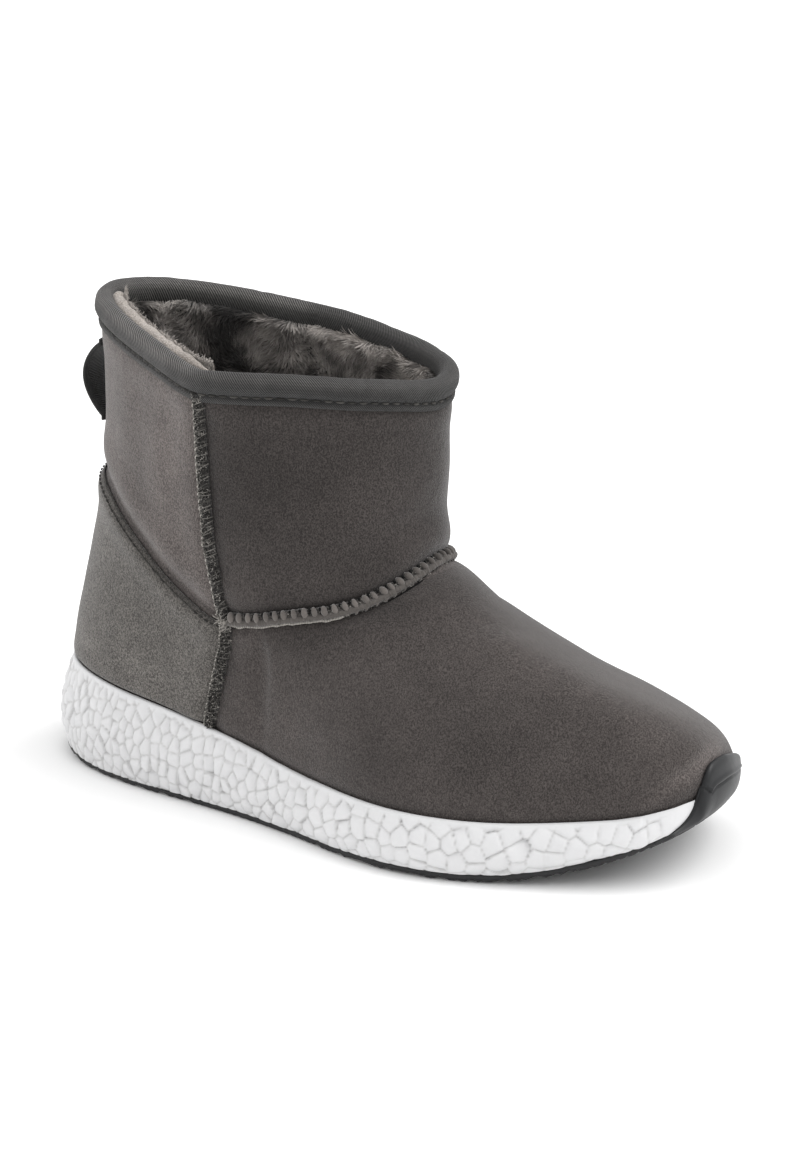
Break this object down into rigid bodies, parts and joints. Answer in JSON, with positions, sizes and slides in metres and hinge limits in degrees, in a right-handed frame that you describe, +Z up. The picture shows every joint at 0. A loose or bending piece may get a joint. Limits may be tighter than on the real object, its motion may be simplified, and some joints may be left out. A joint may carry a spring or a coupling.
{
  "type": "ankle boot",
  "caption": "Soft pull-on ankle boot in grey faux suede with a taped fur-lined collar, raised overlocked seams, a pebbled white foam sole and a black rubber tread with toe bumper.",
  "frame": {"origin": "centre of the boot's plan at the floor", "axes": "+X towards the toe, +Y towards the inner side of the foot, +Z up; the sole stands on the plane Z = 0"},
  "size_m": [0.2716, 0.11, 0.1808],
  "materials": {
    "suede": "short napped faux suede, warm dark grey",
    "suede_counter": "short napped faux suede, greener dark grey",
    "foam": "white foam with a pebbled moulded skin",
    "rubber": "matt black",
    "tape": "dark grey twill tape",
    "thread": "speckled dark and light overlock thread",
    "lining": "mottled grey plush fur",
    "webbing": "black woven webbing"
  },
  "bodies": {
    "root": {"outsole": "rubber", "midsole": "foam", "insole": "lining", "upper": "suede", "heel_counter": "suede_counter", "seam_lateral": "thread", "seam_medial": "thread", "seam_instep": "thread", "collar_binding": "tape", "pull_loop": "webbing", "heel_patch": "webbing"}
  },
  "joints": []
}
